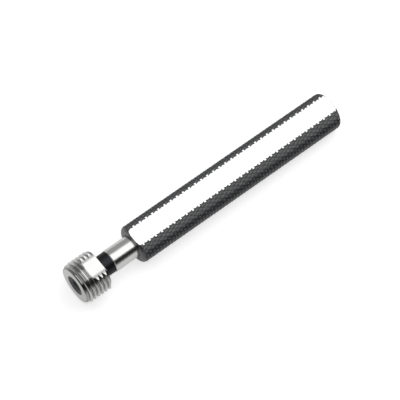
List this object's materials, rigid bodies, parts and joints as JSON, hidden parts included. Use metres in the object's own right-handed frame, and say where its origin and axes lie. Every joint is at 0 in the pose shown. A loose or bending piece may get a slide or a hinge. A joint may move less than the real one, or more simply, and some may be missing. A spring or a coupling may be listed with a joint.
{
  "type": "thread plug gauge",
  "caption": "Steel plug gauge with a threaded head on a short ground shank, held in a long knurled handle with ground flats.",
  "frame": {"origin": "centre of the front face of the threaded head, on the tool's axis", "axes": "+X along the tool's axis from the head to the rear of the handle, +Z square to the ground flats, up as the gauge lies"},
  "size_m": [0.1466, 0.02, 0.02],
  "materials": {
    "ground_steel": "hardened steel, finely ground, satin bright on the thread, face and shank, unground and dark on the neck",
    "black_oxide_steel": "blackened steel with a diamond knurl, worn bright on its points, and bright ground flats"
  },
  "bodies": {
    "root": {"gauge_member": "ground_steel", "handle": "black_oxide_steel"}
  },
  "joints": []
}
